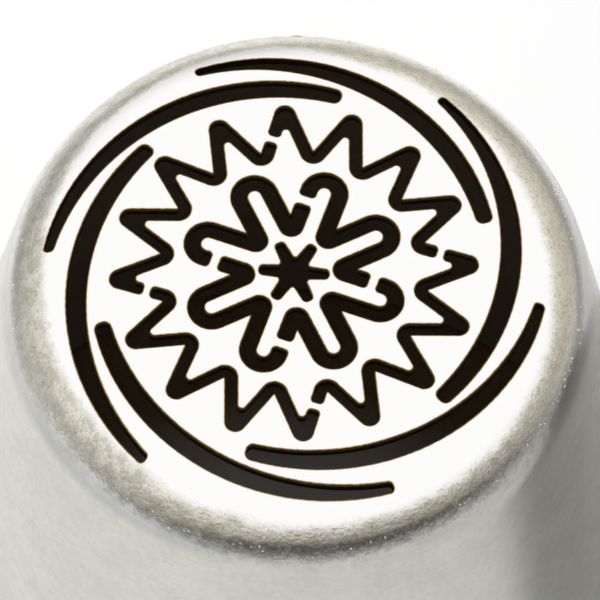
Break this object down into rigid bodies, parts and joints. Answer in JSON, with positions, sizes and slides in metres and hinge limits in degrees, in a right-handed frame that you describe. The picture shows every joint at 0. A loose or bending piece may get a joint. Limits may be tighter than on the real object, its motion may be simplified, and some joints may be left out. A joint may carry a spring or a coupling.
{
  "type": "piping nozzle",
  "caption": "Hollow tapered steel icing nozzle with a straight collar and curled rim, and a domed end face cut with star, flower, zigzag and swirl slots.",
  "frame": {"origin": "centre of the plane that the curled rim stands on", "axes": "+Z is the axis of the nozzle, from the open base to the slotted face; -Y is the side that the picture is taken from and +Y has the seam"},
  "size_m": [0.0358, 0.0358, 0.037],
  "materials": {
    "head_steel": "polished flat, grainy at the shoulder",
    "barrel_steel": "fine satin",
    "weld_steel": "dressed weld, grainy",
    "seam_steel": "dressed weld, satin"
  },
  "bodies": {
    "root": {"nozzle_head": "head_steel", "barrel": "barrel_steel", "shoulder_weld": "weld_steel", "seam_weld": "seam_steel"}
  },
  "joints": []
}
